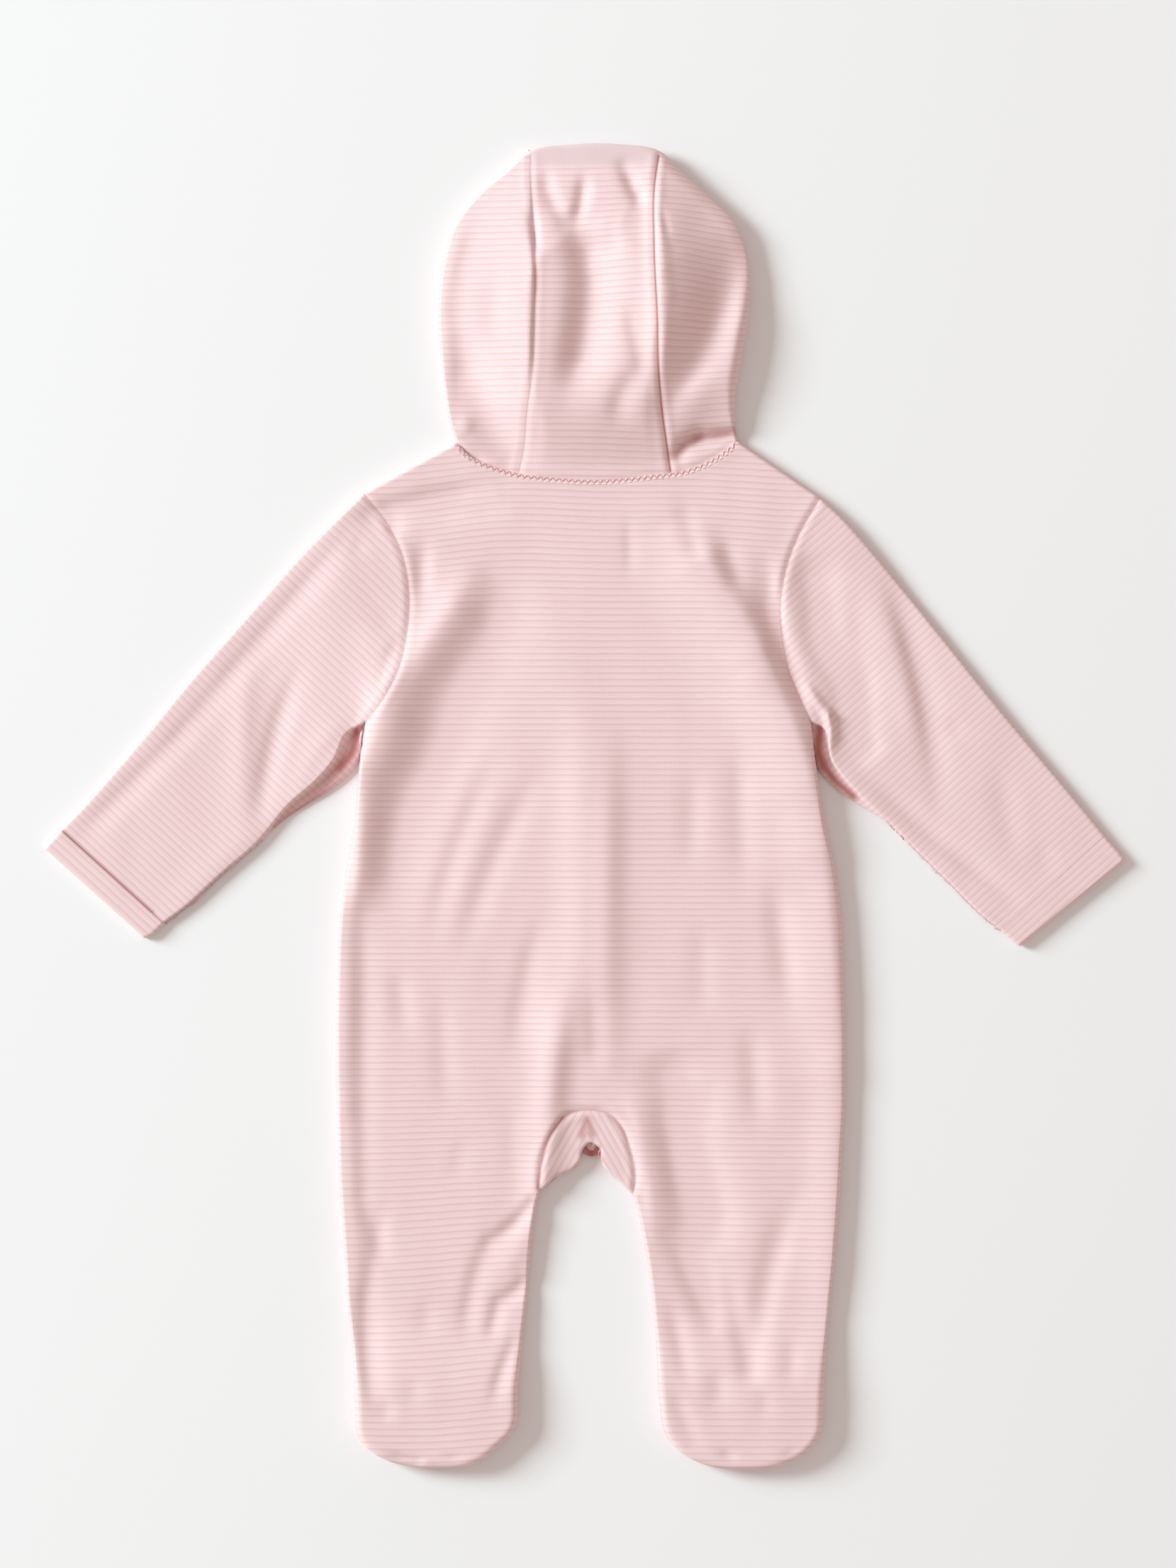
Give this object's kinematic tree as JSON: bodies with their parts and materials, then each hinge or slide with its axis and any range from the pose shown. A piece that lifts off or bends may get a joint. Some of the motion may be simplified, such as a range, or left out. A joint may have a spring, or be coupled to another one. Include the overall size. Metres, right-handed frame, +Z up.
{
  "type": "footed baby sleepsuit",
  "caption": "Hooded, footed sleepsuit for a newborn in striped interlock knit, lying flat on its front with the sleeves spread and the front closed.",
  "frame": {"origin": "on the surface it lies on, under the middle of the whole outline seen from above", "axes": "+Z up from that surface, out of the back of the garment; +Y towards the crown of the hood; +X towards the wearer's right sleeve"},
  "size_m": [0.6032, 0.7388, 0.0144],
  "materials": {
    "back": "soft striped interlock knit, matt",
    "front": "soft striped interlock knit, matt",
    "gusset": "soft striped interlock knit, matt",
    "sleeve": "soft striped interlock knit, matt",
    "cuff": "doubled striped interlock knit, matt",
    "hood": "soft striped interlock knit, matt",
    "press_stud": "enamelled stud cap, satin"
  },
  "bodies": {
    "root": {"back": "back", "front_left": "front", "front_right": "front", "crotch_gusset": "gusset", "sleeve_left": "sleeve", "sleeve_right": "sleeve", "cuff_left": "cuff", "cuff_right": "cuff", "hood_left": "hood", "hood_right": "hood", "hood_centre": "hood", "press_stud_1": "press_stud", "press_stud_2": "press_stud", "press_stud_3": "press_stud", "press_stud_4": "press_stud", "press_stud_5": "press_stud", "press_stud_6": "press_stud", "press_stud_7": "press_stud", "press_stud_8": "press_stud", "press_stud_9": "press_stud"}
  },
  "joints": []
}
